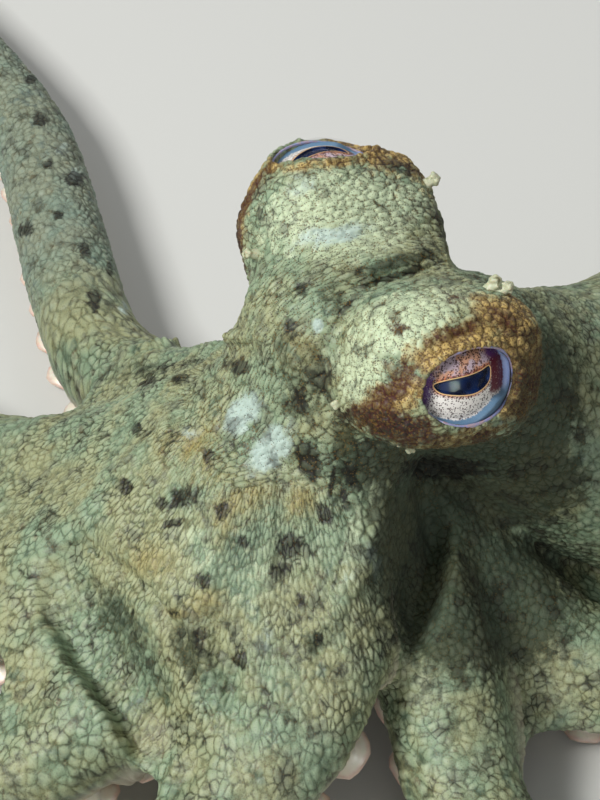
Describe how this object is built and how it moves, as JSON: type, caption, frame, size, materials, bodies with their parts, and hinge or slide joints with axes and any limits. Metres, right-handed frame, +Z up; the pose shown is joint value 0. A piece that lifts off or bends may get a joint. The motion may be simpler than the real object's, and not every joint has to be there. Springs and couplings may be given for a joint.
{
  "type": "common octopus",
  "caption": "Life-size octopus at rest on the floor, head raised on its arm crown and web, mantle laid down behind, arms spread and curled at the tips.",
  "frame": {"origin": "centre of the flat under the mantle, at floor level", "axes": "+Z up, -Y the way the head faces, +X the animal's own left side"},
  "size_m": [0.4908, 0.4514, 0.0777],
  "materials": {
    "skin": "wet, soft skin of pale cream-green cells with dark brown lines, tan, gold and dark brown mottling, warty",
    "eye": "clear, wet eyeball with a speckled pink-brown iris, a dark slit pupil and a white lower rim"
  },
  "bodies": {
    "root": {"head": "skin", "mantle": "skin", "funnel": "skin", "eye_left": "eye", "eye_right": "eye", "arm_l1_base": "skin", "arm_l1_upper": "skin", "arm_l1_lower": "skin", "arm_l1_tip": "skin", "arm_l2_base": "skin", "arm_l2_upper": "skin", "arm_l2_lower": "skin", "arm_l2_tip": "skin", "arm_l3_base": "skin", "arm_l3_upper": "skin", "arm_l3_lower": "skin", "arm_l3_tip": "skin", "arm_l4_base": "skin", "arm_l4_upper": "skin", "arm_l4_lower": "skin", "arm_l4_tip": "skin", "arm_r4_base": "skin", "arm_r4_upper": "skin", "arm_r4_lower": "skin", "arm_r4_tip": "skin", "arm_r3_base": "skin", "arm_r3_upper": "skin", "arm_r3_lower": "skin", "arm_r3_tip": "skin", "arm_r2_base": "skin", "arm_r2_upper": "skin", "arm_r2_lower": "skin", "arm_r2_tip": "skin", "arm_r1_base": "skin", "arm_r1_upper": "skin", "arm_r1_lower": "skin", "arm_r1_tip": "skin"}
  },
  "joints": []
}
